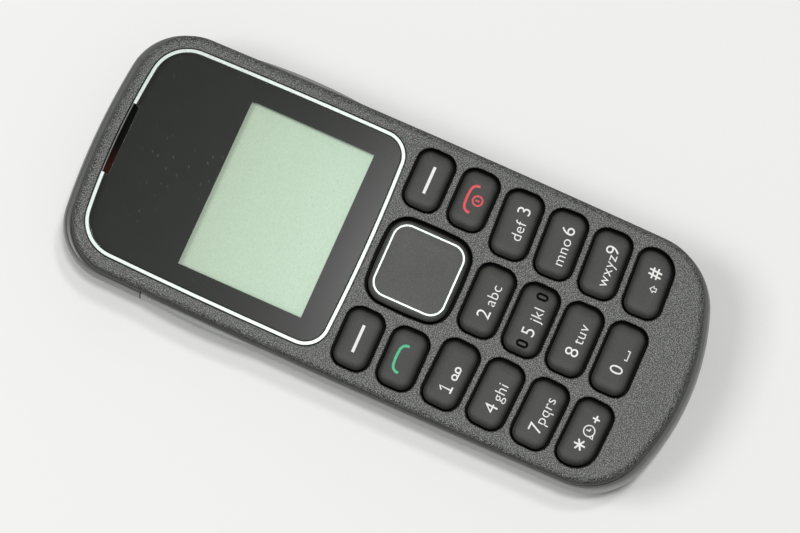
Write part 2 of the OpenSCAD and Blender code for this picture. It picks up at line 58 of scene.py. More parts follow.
# Levels and sizes of the phone, from the frame and from the part's own driving sizes
HALF_L = node_box("top_cap")[1].y
HALF_W = node_box("battery_cover")[1].x
SPLIT = node_box("battery_cover")[1].y  # where the battery cover meets the top cap
FACE = node_box("front_cover")[1].z
PLATE = FACE - 1.8  # underside of the cover's face
POCKET = FACE - 1.2  # floor of the window's pocket
PARTING = FACE - 2.2  # lower edge of the front cover
EDGE_R = 1.2
FRONT_WALL = 1.3
REAR_WALL = 1
SEAM = 0.2  # gap between one shell and the next
BELT = 8.5  # height of the rear shell's widest ring
BACK_IN = 6  # how far the flat back lies inside that ring
RIM_FLARE = 0.25  # share of that ring's overhang that is left at the rim
TRIM_W = 0.62
MASK_T = 0.1
SLOT = (Vector((-6.2, 48.45)), Vector((6.2, 49.9)))  # the earpiece slot's corners
SLOT_SIZE = SLOT[1] - SLOT[0]
SLOT_POS = (SLOT[0] + SLOT[1]) / 2
SLOT_R = 0.4
VIEW_SIZE = Vector((29.7, 21.9))  # the part of the display that shows
VIEW_POS = Vector((0, 21))

# An outline of tangent arcs: half width, then the radii and ends of its sides, top and bottom
Outline = namedtuple(
    "Outline", "half_w side_r wide_y top top_r top_corner bottom bottom_r bottom_corner"
)
FRONT = Outline(HALF_W - 0.6, 2500, -10, HALF_L - 1.65, 120, 9.2, 1.6 - HALF_L, 42, 10.8)
REAR = Outline(HALF_W - 0.3, 2500, -10, HALF_L, 120, 9.6, -HALF_L, 42, 11.8)
WINDOW = Outline(19.25, 1000, 12, 49.7, 120, 6.6, 4.6, 300, 4.3)
NAV = Outline(7.85, 60, 0, 7.68, 60, 3.8, -7.68, 60, 3.8)
SIDE_STEPS = 4
CORNER_STEPS = 14
END_STEPS = 8

# Keys: name, centre, hole size, turn and corner radii from the lower left round to the upper left
Key = namedtuple("Key", "name pos size turn radii")
KEY_R = 2.4
WIDE_KEY_R = 3.9
KEY_GAP = 0.36
KEY_TILT = math.radians(2.7)
NAV_POS = Vector((0, -4.35))
SIDE_SIZE = Vector((12, 6.9))
MIDDLE_SIZE = Vector((12.6, 6.93))
SOFT_SIZE = Vector((10.65, 6.8))
COLUMN_X = 13.56
SIDE_Y, SIDE_PITCH = -15.97, 7.92
MIDDLE_Y, MIDDLE_PITCH = -16.55, 7.81
SOFT_X = 14.4
SOFT_Y, CALL_Y = 0.08, -7.87
DIGITS = (("1", "2", "3"), ("4", "5", "6"), ("7", "8", "9"), ("star", "0", "hash"))


def list_keys():
    """Every key of the keypad but the navigation key."""
    keys = []
    for row, names in enumerate(DIGITS):
        for column, name in zip((-1, 0, 1), names):
            radii = [KEY_R] * 4
            if name == "star":
                radii[0] = WIDE_KEY_R
            if name == "hash":
                radii[1] = WIDE_KEY_R
            if column:
                pos = Vector((column * COLUMN_X, SIDE_Y - row * SIDE_PITCH))
                keys.append(Key("key_" + name, pos, SIDE_SIZE, column * KEY_TILT, radii))
            else:
                pos = Vector((0, MIDDLE_Y - row * MIDDLE_PITCH))
                keys.append(Key("key_" + name, pos, MIDDLE_SIZE, 0, radii))
    for name, side, y in (
        ("key_soft_left", -1, SOFT_Y),
        ("key_soft_right", 1, SOFT_Y),
        ("key_call", -1, CALL_Y),
        ("key_end", 1, CALL_Y),
    ):
        keys.append(Key(name, Vector((side * SOFT_X, y)), SOFT_SIZE, 0, [KEY_R] * 4))
    return keys


KEYS = list_keys()


# Materials


def srgb(code):
    """The linear colour of an sRGB hex value."""
    parts = [int(code[i : i + 2], 16) / 255 for i in (1, 3, 5)]
    return [c / 12.92 if c <= 0.04045 else ((c + 0.055) / 1.055) ** 2.4 for c in parts] + [1]


def per_mm(size):
    """The texture scale whose features are this many millimetres apart on Object coordinates."""
    return 1 / (size * MM)


def add(tree, kind, inputs, **settings):
    """Adds a node with its settings; an input is a value or another node's socket."""
    made = tree.nodes.new("ShaderNode" + kind)
    for name, value in settings.items():
        setattr(made, name, value)
    for name, value in inputs.items():
        if isinstance(value, bpy.types.NodeSocket):
            tree.links.new(value, made.inputs[name])
        else:
            made.inputs[name].default_value = value
    return made


def new_material(name):
    """An empty node material with its output and its Object coordinates."""
    material = bpy.data.materials.new(name)
    material.use_nodes = True
    tree = material.node_tree
    tree.nodes.clear()
    output = add(tree, "OutputMaterial", {})
    coords = add(tree, "TexCoord", {}).outputs["Object"]
    return material, tree, output.inputs["Surface"], coords


def add_surface(tree, surface, looks):
    """Gives a material its shader, with these inputs."""
    shader = add(tree, "BsdfPrincipled", looks)
    tree.links.new(shader.outputs["BSDF"], surface)


def ramp(tree, factor, *stops):
    """A colour ramp of (position, sRGB hex) stops."""
    made = add(tree, "ValToRGB", {"Fac": factor})
    elements = made.color_ramp.elements
    while len(elements) < len(stops):
        elements.new(0.5)
    for element, (position, code) in zip(elements, stops):
        element.position = position
        element.color = srgb(code)
    return made.outputs["Color"]


def noise(tree, coords, size, detail=2.0):
    """Noise whose features are this many millimetres apart."""
    inputs = {"Vector": coords, "Scale": per_mm(size), "Detail": detail}
    return add(tree, "TexNoise", inputs).outputs["Fac"]


def multiplied(tree, tone, shade):
    """One colour times another."""
    inputs = {"Fac": 1.0, "Color1": tone, "Color2": shade}
    return add(tree, "MixRGB", inputs, blend_type="MULTIPLY").outputs["Color"]


def share_along(tree, coords, axis, node):
    """How far a place lies along one axis of a CAD node's box, from 0 to 1."""
    low, high = (corner["XYZ".index(axis)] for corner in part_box(node))
    along = add(tree, "SeparateXYZ", {"Vector": coords}).outputs[axis]
    inputs = {"Value": along, "From Min": low, "From Max": high}
    return add(tree, "MapRange", inputs).outputs["Result"]


PLAIN = ((0.0, "#ffffff"), (1.0, "#ffffff"))


def grained(name, colours, grain_mm, bump_mm, rough, cloud_mm, cloud, steep=PLAIN, **constants):
    """A finish with grain in its colour and height, under slow clouds in its tone and gloss.
    Its tone can also change with the slope, from upright walls (0) to level faces (1), which paints shade
    onto steep faces."""
    material, tree, surface, coords = new_material(name)
    grain = noise(tree, coords, grain_mm)
    clouds = noise(tree, coords, cloud_mm, 3.0)
    level = add(tree, "SeparateXYZ", {"Vector": coords.node.outputs["Normal"]}).outputs["Z"]
    tone = ramp(tree, grain, *colours)
    for shade in (ramp(tree, clouds, *cloud), ramp(tree, level, *steep)):
        tone = multiplied(tree, tone, shade)
    gloss = add(tree, "MapRange", {"Value": clouds, "To Min": rough[0], "To Max": rough[1]})
    bump = add(tree, "Bump", {"Height": grain, "Strength": 1.0, "Distance": bump_mm * MM})
    looks = {
        "Base Color": tone,
        "Roughness": gloss.outputs["Result"],
        "Normal": bump.outputs["Normal"],
        **constants,
    }
    add_surface(tree, surface, looks)
    return material


EVEN_CLOUD = ((0.3, "#f2f2f2"), (0.7, "#ffffff"))


def even(name, low, high, grain_mm, bump_mm, rough, cloud_mm, **constants):
    """A finish of one colour, a little darker or paler from grain to grain."""
    colours = ((0.3, low), (0.7, high))
    return grained(name, colours, grain_mm, bump_mm, rough, cloud_mm, EVEN_CLOUD, **constants)


def spark_grained_abs():
    """Moulded ABS from a spark-eroded tool: a dark grey with pale sparkle on every grain.
    The real grain is about 0.1 mm and is drawn half as coarse again, so that it shows.
    Steep edges are darkened towards black by their slope, as painted shade."""
    colours = ((0.38, "#0c0d0d"), (0.5, "#373937"), (0.62, "#939590"))
    # Painted shade: the tone is darkened towards black on steep faces
    steep = ((0.2, "#161616"), (0.55, "#808080"), (0.85, "#ffffff"))
    return grained("spark_grained_abs", colours, 0.155, 0.03, (0.45, 0.55), 14, EVEN_CLOUD, steep)


def abs_painted_wall_shade():
    """Smooth moulded grey ABS with a satin shine; its steep walls are darkened towards black as painted
    shade, with the grey showing on the level rim.
    """
    colours = ((0.3, "#60625f"), (0.7, "#666865"))
    # Painted shade: steep walls are darkened towards black
    steep = ((0.5, "#202020"), (0.74, "#ffffff"))
    shine = {"Specular IOR Level": 0.36}
    return grained("abs_painted_wall_shade", colours, 0.5, 0.004, (0.22, 0.3), 18, EVEN_CLOUD, steep, **shine)


def key_rubber(name, low, high):
    """Black silicone rubber with a matt grey coat on its crown and a fine bloom from handling; its steep
    walls are also darkened towards black, as painted shade.
    """
    colours = ((0.3, low), (0.7, high))
    cloud = ((0.3, "#e4e4e4"), (0.7, "#ffffff"))
    # Painted shade: steep walls are darkened towards black
    steep = ((0.15, "#161616"), (0.44, "#ffffff"))
    matt = {"Specular IOR Level": 0.2}
    return grained(name, colours, 0.22, 0.012, (0.42, 0.52), 6, cloud, steep, **matt)


def black_nylon():
    """Glass-filled nylon of the chassis: black, slightly rough, with a fibre bloom."""
    colours = ((0.35, "#222323"), (0.7, "#313232"))
    return grained("glass_filled_nylon", colours, 0.35, 0.012, (0.42, 0.58), 10, EVEN_CLOUD)


def printed_ink(name, low, high, **constants):
    """Screen-printed ink: a thin even film with slightly ragged cover."""
    return grained(name, ((0.25, low), (0.6, high)), 0.3, 0.004, (0.4, 0.5), 4, EVEN_CLOUD, **constants)


def clear_acrylic():
    """Clear acrylic: see-through, with a worn shine that grows towards grazing angles and specks of dust.
    Its back is printed or cemented, so only the front shines."""
    material, tree, surface, coords = new_material("clear_acrylic")
    clear = add(tree, "BsdfTransparent", {"Color": srgb("#fdfffd")}).outputs["BSDF"]
    shine = add(tree, "BsdfGlossy", {"Color": srgb("#ffffff"), "Roughness": 0.13}).outputs["BSDF"]
    dust = add(tree, "BsdfDiffuse", {"Color": srgb("#b9bcb8")}).outputs["BSDF"]
    fresnel = add(tree, "Fresnel", {"IOR": 1.47}).outputs["Fac"]
    inside = add(tree, "NewGeometry", {}).outputs["Backfacing"]
    front = add(tree, "Math", {0: fresnel, 1: inside}, operation="SUBTRACT", use_clamp=True)
    sheet = add(tree, "MixShader", {0: front.outputs["Value"], 1: clear, 2: shine}).outputs["Shader"]
    cell_mm, patch_mm, cover = 2.6, 11, 0.13
    cells = add(tree, "TexVoronoi", {"Vector": coords, "Scale": per_mm(cell_mm)}, voronoi_dimensions="2D")
    fade = {"From Min": 0.02, "From Max": 0.06, "To Min": cover, "To Max": 0.0}
    speck = add(tree, "MapRange", {"Value": cells.outputs["Distance"], **fade}).outputs["Result"]
    patches = noise(tree, coords, patch_mm)
    patch = add(tree, "MapRange", {"Value": patches, "From Min": 0.5, "From Max": 0.68}).outputs["Result"]
    dusty = add(tree, "Math", {0: speck, 1: patch}, operation="MULTIPLY").outputs["Value"]
    mix = add(tree, "MixShader", {0: dusty, 1: sheet, 2: dust})
    tree.links.new(mix.outputs["Shader"], surface)
    return material


def lcd_glass():
    """A reflective display at rest: pale grey-green, a fine grid of dots; towards its top edge it turns
    warmer in tint and, as painted shade, darker.
    """
    material, tree, surface, coords = new_material("reflective_lcd")
    dot_mm, line_share, mottle_mm = 0.31, 0.08, 0.35
    grid = add(
        tree,
        "TexBrick",
        {
            "Vector": coords,
            "Scale": per_mm(dot_mm),
            "Color1": srgb("#ffffff"),
            "Color2": srgb("#ffffff"),
            "Mortar": srgb("#f2f4f0"),
            "Mortar Size": line_share,
            "Brick Width": 1.0,
            "Row Height": 1.0,
        },
        offset=0.0,
    )
    # Warmer, and as painted shade darker, towards the top edge
    share = share_along(tree, coords, "Y", "lcd_glass")
    tint_and_shade = ramp(tree, share, (0.0, "#c8dcc9"), (0.55, "#c3d6c2"), (1.0, "#bdcab7"))
    mottle = ramp(tree, noise(tree, coords, mottle_mm), (0.3, "#f3f3f3"), (0.7, "#ffffff"))
    colour = multiplied(tree, multiplied(tree, tint_and_shade, grid.outputs["Color"]), mottle)
    add_surface(tree, surface, {"Base Color": colour, "Roughness": 0.45})
    return material


def woven_mesh():
    """Fine woven cloth over the earpiece: black threads crossed at right angles, darkened between the
    threads as painted shade, and brown towards one end.
    """
    material, tree, surface, coords = new_material("woven_acoustic_mesh")
    thread_mm, bump_mm = 0.3, 0.04
    inputs = {"Vector": coords, "Scale": per_mm(thread_mm) / math.pi}
    warp, weft = (add(tree, "TexWave", inputs, bands_direction=way).outputs["Fac"] for way in "XY")
    height = add(tree, "Math", {0: warp, 1: weft}, operation="MAXIMUM").outputs["Value"]
    # Painted shade: darker between the threads
    weave = ramp(tree, height, (0.3, "#404040"), (0.9, "#ffffff"))
    # Browner towards the -X end
    share = share_along(tree, coords, "X", "earpiece_mesh")
    thread = ramp(tree, share, (0.08, "#4a2218"), (0.42, "#141010"), (1.0, "#0c0b0b"))
    bump = add(tree, "Bump", {"Height": height, "Distance": bump_mm * MM})
    looks = {
        "Base Color": multiplied(tree, thread, weave),
        "Roughness": 0.7,
        "Specular IOR Level": 0.1,
        "Normal": bump.outputs["Normal"],
    }
    add_surface(tree, surface, looks)
    return material


def plain_plastic(name, low, high):
    """A small moulded plastic piece of one colour."""
    return even(name, low, high, 0.4, 0.006, (0.4, 0.5), 9)


COVER = spark_grained_abs()
# Smooth moulded ABS: grey with a satin shine and a trace of flow marks
SHELL = even("satin_moulded_abs", "#6d6f6c", "#737572", 0.5, 0.004, (0.26, 0.36), 18)
# The top cap's grey ABS, with painted shade on its walls
CAP_SHELL = abs_painted_wall_shade()
RUBBER = key_rubber("coated_silicone_rubber", "#41413f", "#4d4d4a")
# The keys' rubber made paler for the navigation key, as a painted sheen
NAV_RUBBER = key_rubber("nav_rubber_painted_sheen", "#51514f", "#5e5e5a")
# Plain moulded silicone, as the keypad's web is seen deep in the gaps
MATT = {"Specular IOR Level": 0.1}
BLACK_RUBBER = even("black_silicone_rubber", "#0c0c0c", "#131313", 0.3, 0.01, (0.6, 0.7), 8, **MATT)
NYLON = black_nylon()
# Vacuum-metallised plastic: near white with a trace of green, and a soft shine
TRIM = even("metallised_plastic", "#b2bcb6", "#bfc9c3", 0.4, 0.004, (0.3, 0.4), 9, Metallic=0.4)
WHITE_INK = printed_ink("white_ink", "#e4e4e0", "#f4f4f1")
GREEN_INK = printed_ink("green_ink", "#25aa74", "#3cc088")
RED_INK = printed_ink("red_ink", "#cd2f38", "#e03f47")
MASK_INK = printed_ink("black_mask_ink", "#262725", "#2b2c2a", **{"Specular IOR Level": 0.0})
ACRYLIC = clear_acrylic()
LCD = lcd_glass()
MESH = woven_mesh()
# Drawn and tinned steel: bright, with a slightly uneven shine
STEEL = even("tinned_steel", "#aeb0ae", "#c6c8c5", 0.25, 0.004, (0.28, 0.4), 7, Metallic=1.0)
# Gold plate on contact springs
GOLD = even("gold_plate", "#c79c45", "#dcb760", 0.3, 0.003, (0.22, 0.32), 5, Metallic=1.0)
# Glass-epoxy board under green solder mask
BOARD = even("solder_masked_board", "#18492f", "#22633f", 0.8, 0.006, (0.3, 0.42), 5)
# Printed plastic wrap round the battery, with no words on it
WRAP = even("battery_wrap", "#2b2f36", "#343941", 0.6, 0.004, (0.3, 0.42), 16)
WHITE_PLASTIC = plain_plastic("white_polycarbonate", "#e6e6e2", "#f0f0ec")
SOCKET_PLASTIC = plain_plastic("black_socket_plastic", "#151515", "#1e1e1e")
FOAM = plain_plastic("black_foam", "#1a1a1a", "#262626")
FOIL = plain_plastic("dome_foil", "#cfcaa8", "#dcd7b6")
LED_RESIN = plain_plastic("yellow_led_resin", "#e9dd92", "#f6ecae")

# The CAD nodes that stay, each with its finish
NODE_FINISH = {
    LCD: ["lcd_glass"],
    MESH: ["earpiece_mesh"],
    STEEL: [
        "earpiece_receiver",
        "dome_switches",
        "shield_cans",
        "microphone",
        "vibration_motor",
        "vibration_weight",
        "sim_holder",
        "screws",
    ],
    GOLD: ["antenna", "battery_contacts"],
    BOARD: ["main_board"],
    WRAP: ["battery"],
    WHITE_PLASTIC: ["lcd_frame", "key_lights"],
    SOCKET_PLASTIC: ["charger_socket", "headset_socket", "loudspeaker"],
    FOAM: ["lcd_gasket", "speaker_gasket"],
    FOIL: ["dome_sheet"],
    LED_RESIN: ["torch_led"],
    BLACK_RUBBER: ["keypad_mat", "nav_key_stem"],
    NYLON: ["chassis"],
}
for material, names in NODE_FINISH.items():
    for name in names:
        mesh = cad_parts[name].data
        mesh.materials.clear()
        mesh.materials.append(material)


# Modelling helpers

# A face whose normal is this near to upright is level, and is shaded flat
LEVEL = 0.9999
SHARP = math.radians(32)  # edges with a larger turn are shaded sharp
MERGE = 0.0005  # points nearer than this are one
MIN_R = 0.15  # a rounded corner that is moved inwards keeps this radius
TURN_STEPS = 40
PIN_STEPS = 32


def flat_angle(vector):
    """A flat vector's turn from the X axis."""
    return math.atan2(vector.y, vector.x)


def corner_centre(side_c, side_r, end_c, end_r, corner_r):
    """The centre of the corner arc that runs smoothly into a side arc and an end arc."""
    line = end_c - side_c
    near, far = side_r - corner_r, end_r - corner_r
    along = (near**2 - far**2 + line.length_squared) / (2 * line.length)
    across = math.sqrt(near**2 - along**2)
    way = line.normalized()
    return side_c + along * way + across * Vector((-way.y, way.x))


def arc_ring(bm, inset, z, form, centre=Vector((0, 0))):
    """The closed ring of an outline, moved inwards: arcs spun from its widest point, then mirrored."""
    before = set(bm.edges)
    start = bm.verts.new((form.half_w - inset, form.wide_y, z))
    for sign, end, end_r, corner_r in (
        (1, form.top, form.top_r, form.top_corner),
        (-1, form.bottom, form.bottom_r, form.bottom_corner),
    ):
        side_c = Vector((form.half_w - form.side_r, sign * form.wide_y))
        end_c = Vector((0, sign * end - end_r))
        corner_c = corner_centre(side_c, form.side_r, end_c, end_r, corner_r)
        to_corner = flat_angle(corner_c - side_c)
        to_end = flat_angle(corner_c - end_c)
        point = start
        for middle, turn, steps in (
            (side_c, to_corner, SIDE_STEPS),
            (corner_c, to_end - to_corner, CORNER_STEPS),
            (end_c, math.pi / 2 - to_end, END_STEPS),
        ):
            spun = bmesh.ops.spin(
                bm,
                geom=[point],
                cent=(middle.x, sign * middle.y, z),
                axis=(0, 0, 1),
                angle=sign * turn,
                steps=steps,
            )
            point = next(g for g in spun["geom_last"] if isinstance(g, bmesh.types.BMVert))
    half = [e for e in bm.edges if e not in before]
    points = list({v for e in half for v in e.verts})
    bmesh.ops.mirror(bm, geom=half + points, axis="X", merge_dist=0.001)
    ring = [e for e in bm.edges if e not in before]
    points = list({v for e in ring for v in e.verts})
    bmesh.ops.translate(bm, verts=points, vec=(centre.x, centre.y, 0))
    return ring


def rect_ring(bm, inset, z, size, radii, pos=Vector((0, 0)), turn=0, steps=6):
    """The closed ring of a rounded rectangle with its own radius at each corner, moved inwards."""
    before = set(bm.edges)
    quad = bmesh.ops.create_grid(bm, x_segments=1, y_segments=1, size=0.5)["verts"]
    bmesh.ops.scale(bm, vec=(size.x - 2 * inset, size.y - 2 * inset, 1), verts=quad)
    order = ((-1, -1), (1, -1), (1, 1), (-1, 1))
    for (sx, sy), radius in zip(order, radii):
        corner = next(v for v in quad if v.is_valid and v.co.x * sx > 0 and v.co.y * sy > 0)
        quad.remove(corner)
        bmesh.ops.bevel(
            bm,
            geom=[corner],
            offset=max(radius - inset, MIN_R),
            segments=steps,
            profile=0.5,
            affect="VERTICES",
            material=-1,
        )
    ring = [e for e in bm.edges if e not in before]
    points = list({v for e in ring for v in e.verts})
    bmesh.ops.delete(bm, geom=ring[0].link_faces[:], context="FACES_ONLY")
    bmesh.ops.rotate(bm, cent=(0, 0, 0), matrix=Matrix.Rotation(turn, 3, "Z"), verts=points)
    bmesh.ops.translate(bm, vec=(pos.x, pos.y, z), verts=points)
    return ring


def key_ring(bm, inset, z, key):
    """The closed ring of a key's hole, moved inwards."""
    return rect_ring(bm, inset, z, key.size, key.radii, key.pos, key.turn)


def skin(bm, *rings):
    """A flat face inside the first ring, with the other rings as holes."""
    bmesh.ops.triangle_fill(bm, edges=[e for ring in rings for e in ring], use_beauty=True)


def walls(bm, rings, heights, closed=False):
    """Walls between a row of rings, and flat steps between those at one height."""
    steps = list(zip(range(len(rings)), range(1, len(rings))))
    if closed:
        steps.append((len(rings) - 1, 0))
    for i, j in steps:
        if math.isclose(heights[i], heights[j], abs_tol=0.001):
            skin(bm, rings[i], rings[j])
        else:
            bmesh.ops.bridge_loops(bm, edges=rings[i] + rings[j])


def loft(bm, trace, profile, closed=False):
    """Rings of one outline at a row of (inset, height) places, with walls between them."""
    rings = [trace(bm, inset, z) for inset, z in profile]
    walls(bm, rings, [z for _, z in profile], closed)
    return rings


def cap(bm, ring):
    """One face inside a ring."""
    bmesh.ops.edgeloop_fill(bm, edges=ring)


def quarter_round(inset, z, radius, steps):
    """Profile places round a convex edge, from the wall at the inset up to the level z."""
    turns = [math.pi / 2 * i / steps for i in range(steps + 1)]
    return [(inset + radius * (1 - math.cos(a)), z - radius * (1 - math.sin(a))) for a in turns]


def linked(name, data):
    """A new object in the scene."""
    made = bpy.data.objects.new(name, data)
    bpy.context.scene.collection.objects.link(made)
    return made


def shaped_mesh(made):
    """The mesh of an object with its modifiers worked in, or of a curve or text."""
    bpy.context.view_layer.update()
    graph = bpy.context.evaluated_depsgraph_get()
    return bpy.data.meshes.new_from_object(made.evaluated_get(graph))


def solid(bm, name):
    """Makes an object of a bmesh, still in millimetres, with its doubles merged and its faces outwards."""
    bmesh.ops.remove_doubles(bm, verts=bm.verts, dist=MERGE)
    bmesh.ops.recalc_face_normals(bm, faces=bm.faces)
    mesh = bpy.data.meshes.new(name)
    bm.to_mesh(mesh)
    bm.free()
    return linked(name, mesh)


def lofted(trace, profile, name):
    """A solid on a row of rings, closed at both ends."""
    bm = bmesh.new()
    rings = loft(bm, trace, profile)
    cap(bm, rings[0])
    cap(bm, rings[-1])
    return solid(bm, name)


def hoop(trace, profile, name):
    """A solid that runs round an outline with a closed profile."""
    bm = bmesh.new()
    loft(bm, trace, profile, closed=True)
    return solid(bm, name)


def settle(made, others, operation="DIFFERENCE"):
    """Cuts other pieces out of a piece, or joins them to it, and works that into its mesh."""
    for other in others:
        change = made.modifiers.new("change", "BOOLEAN")
        change.operation = operation
        change.solver = "EXACT"
        change.object = other
    shaped = shaped_mesh(made)
    made.modifiers.clear()
    made.data = shaped
    for other in others:
        bpy.data.objects.remove(other)


def place(made, material, body, replaces=(), low=None):
    """Scales a piece to metres, shades it, and sets what it rides on, its finish and what it stands for.
    Faces under a level can have a finish of their own, as low = (millimetres, finish)."""
    mesh = made.data
    mesh.transform(Matrix.Scale(MM, 4))
    mesh.shade_smooth()
    mesh.set_sharp_from_angle(angle=SHARP)
    for polygon in mesh.polygons:
        polygon.use_smooth = abs(polygon.normal.z) < LEVEL
    mesh.materials.clear()
    mesh.materials.append(material)
    if low:
        mesh.materials.append(low[1])
    for polygon in mesh.polygons:
        polygon.material_index = int(bool(low) and polygon.center.z < low[0] * MM)
    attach(made, body)
    if replaces:
        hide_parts(*replaces)
    return made


def block(low, high):
    """A plain box between two corners, for cutting with or joining."""
    bm = bmesh.new()
    bmesh.ops.create_cube(bm, size=1)
    low, high = Vector(low), Vector(high)
    bmesh.ops.scale(bm, vec=high - low, verts=bm.verts)
    bmesh.ops.translate(bm, vec=(low + high) / 2, verts=bm.verts)
    return solid(bm, "block")


def turned(profile, centre, name="bore"):
    """A piece turned about an axis along Y through a centre, from its profile of (radius, y) places."""
    bm = bmesh.new()
    points = [bm.verts.new((centre[0] + radius, y, centre[1])) for radius, y in profile]
    edges = [bm.edges.new(pair) for pair in zip(points, points[1:])]
    bmesh.ops.spin(
        bm,
        geom=points + edges,
        cent=(centre[0], 0, centre[1]),
        axis=(0, 1, 0),
        angle=2 * math.pi,
        steps=TURN_STEPS,
        use_merge=True,
    )
    return solid(bm, name)


def post(pos, radius, low, high):
    """An upright pin, for cutting with or joining."""
    bm = bmesh.new()
    bmesh.ops.create_cone(
        bm, cap_ends=True, segments=PIN_STEPS, radius1=radius, radius2=radius, depth=high - low
    )
    bmesh.ops.translate(bm, vec=(pos.x, pos.y, (low + high) / 2), verts=bm.verts)
    return solid(bm, "pin")


def prism(trace, low, high):
    """A straight-sided solid on an outline, for cutting with."""
    return lofted(trace, [(0, low), (0, high)], "prism")


# The front cover

FRONT_TRACE = partial(arc_ring, form=FRONT)
WINDOW_TRACE = partial(arc_ring, form=WINDOW)
NAV_TRACE = partial(arc_ring, form=NAV, centre=NAV_POS)
SUPPORT = 0.12  # level border beside a rounding
FOOT = ((0.4, 0), (0.4, 0.2), (0.12, 0.28), (0, 0.5))  # insets and rises over the parting line
LIP_R = 0.22  # rolled edge of a key's hole
GROOVE, GROOVE_SOFT = 0.15, 0.08  # gap round the trim, and its softened edge
VIEW_ROOM = Vector((1.6, 1.6))
VIEW_ROOM_R = 1
SLOT_ROOM = Vector((0.1, 0.1))


def front_cover():
    """One moulding: rounded outer edge, a rolled lip round each key, the window's pocket, inner walls."""
    bm = bmesh.new()
    foot = [(inset, PARTING + rise) for inset, rise in FOOT]
    edge = quarter_round(0, FACE, EDGE_R, 8) + [(EDGE_R + SUPPORT, FACE)]
    outer = loft(bm, FRONT_TRACE, foot + edge)
    inner = loft(bm, FRONT_TRACE, [(FRONT_WALL, PLATE), (FRONT_WALL, PARTING)])
    skin(bm, outer[0], inner[-1])
    lip = [(-inset, z) for inset, z in quarter_round(0, FACE, LIP_R, 4)]
    hole = [(-LIP_R - SUPPORT, FACE)] + list(reversed(lip)) + [(0, PLATE)]
    mouths, backs = [], []
    holes = [partial(key_ring, key=key) for key in KEYS]
    holes.append(NAV_TRACE)
    for trace in holes:
        rings = loft(bm, trace, hole)
        mouths.append(rings[0])
        backs.append(rings[-1])
    rim = -GROOVE - GROOVE_SOFT
    descent = [(rim - SUPPORT, FACE), (rim, FACE), (-GROOVE, FACE - GROOVE_SOFT), (-GROOVE, POCKET)]
    pocket = loft(bm, WINDOW_TRACE, descent)
    openings = [
        partial(rect_ring, size=VIEW_SIZE + VIEW_ROOM, radii=[VIEW_ROOM_R] * 4, pos=VIEW_POS),
        partial(rect_ring, size=SLOT_SIZE + SLOT_ROOM, radii=[SLOT_R] * 4, pos=SLOT_POS),
    ]
    ledges = [loft(bm, trace, [(0, POCKET), (0, PLATE)]) for trace in openings]
    skin(bm, outer[-1], pocket[0], *mouths)
    skin(bm, pocket[-1], *[rings[0] for rings in ledges])
    skin(bm, inner[0], *backs, *[rings[1] for rings in ledges])
    made = solid(bm, "front_cover_moulding")
    return place(made, COVER, "phone", ["front_cover"])


front_cover()


# The window with its trim

PAST = 1  # how far a cutter runs past the faces that it cuts
TRIM_RISE, TRIM_SOFT = 0.1, 0.07
TRIM_BARE = FACE - 0.2  # the trim's bright coat ends here
TRIM_CUT = 0.05  # gap between the trim's ends and the earpiece slot
TRIM_LIP_W, TRIM_LIP_H = 0.16, 0.95
SHEET_GAP = 0.03
SHEET_EDGE_R = 0.15
NOTCH_ROOM, NOTCH_SHIFT, NOTCH_R = Vector((0.2, 1.6)), Vector((0, 0.7)), 0.2


def slot_cutter(low, high):
    """Cuts the earpiece's notch, which runs out through the window's top edge."""
    radii = [SLOT_R, SLOT_R, NOTCH_R, NOTCH_R]
    trace = partial(rect_ring, size=SLOT_SIZE + NOTCH_ROOM, radii=radii, pos=SLOT_POS + NOTCH_SHIFT)
    return prism(trace, low, high)


def window_trim():
    """A bright ring with a rounded crown, of which only a low lip runs on past the earpiece slot."""
    outside = quarter_round(0, FACE + TRIM_RISE, TRIM_SOFT, 4)
    inside = [(TRIM_W - inset, z) for inset, z in reversed(outside)]
    made = hoop(WINDOW_TRACE, [(0, POCKET)] + outside + inside + [(TRIM_W, POCKET)], "window_trim_ring")
    low = (SLOT[0].x - TRIM_CUT, SLOT[0].y - TRIM_CUT, POCKET - PAST)
    high = (SLOT[1].x + TRIM_CUT, SLOT[1].y + PAST, FACE + PAST)
    settle(made, [block(low, high)])
    top = POCKET + TRIM_LIP_H
    lip = [(0, POCKET), (0, top), (TRIM_LIP_W, top), (TRIM_LIP_W, POCKET)]
    settle(made, [hoop(WINDOW_TRACE, lip, "lip")], "UNION")
    return place(made, TRIM, "phone", ["window_trim"], low=(TRIM_BARE, SHELL))


def display_window():
    """A clear sheet with softened edges and the earpiece notch."""
    inset = TRIM_W + SHEET_GAP
    edge = quarter_round(inset, FACE, SHEET_EDGE_R, 4)
    profile = [(inset, POCKET + MASK_T + SHEET_GAP)] + edge + [(edge[-1][0] + SUPPORT, FACE)]
    made = lofted(WINDOW_TRACE, profile, "display_window_sheet")
    settle(made, [slot_cutter(POCKET - PAST, FACE + PAST)])
    return place(made, ACRYLIC, "phone", ["display_window"])


def window_mask():
    """The black print behind the sheet, with sharp corners round the display."""
    inset = TRIM_W + SHEET_GAP
    profile = [(inset, POCKET), (inset, POCKET + MASK_T)]
    made = lofted(WINDOW_TRACE, profile, "window_mask_print")
    low, high = VIEW_POS - VIEW_SIZE / 2, VIEW_POS + VIEW_SIZE / 2
    hole = block((*low, POCKET - PAST), (*high, FACE))
    settle(made, [hole, slot_cutter(POCKET - PAST, FACE)])
    return place(made, MASK_INK, "phone", ["window_mask"])


window_trim()
display_window()
window_mask()


# The keys

FLANGE_W = 0.2
KEY_FOOT, NAV_FOOT = -2.6, -2.9  # undersides of the flanges, from the face
NAV_GAP = KEY_GAP + 0.12
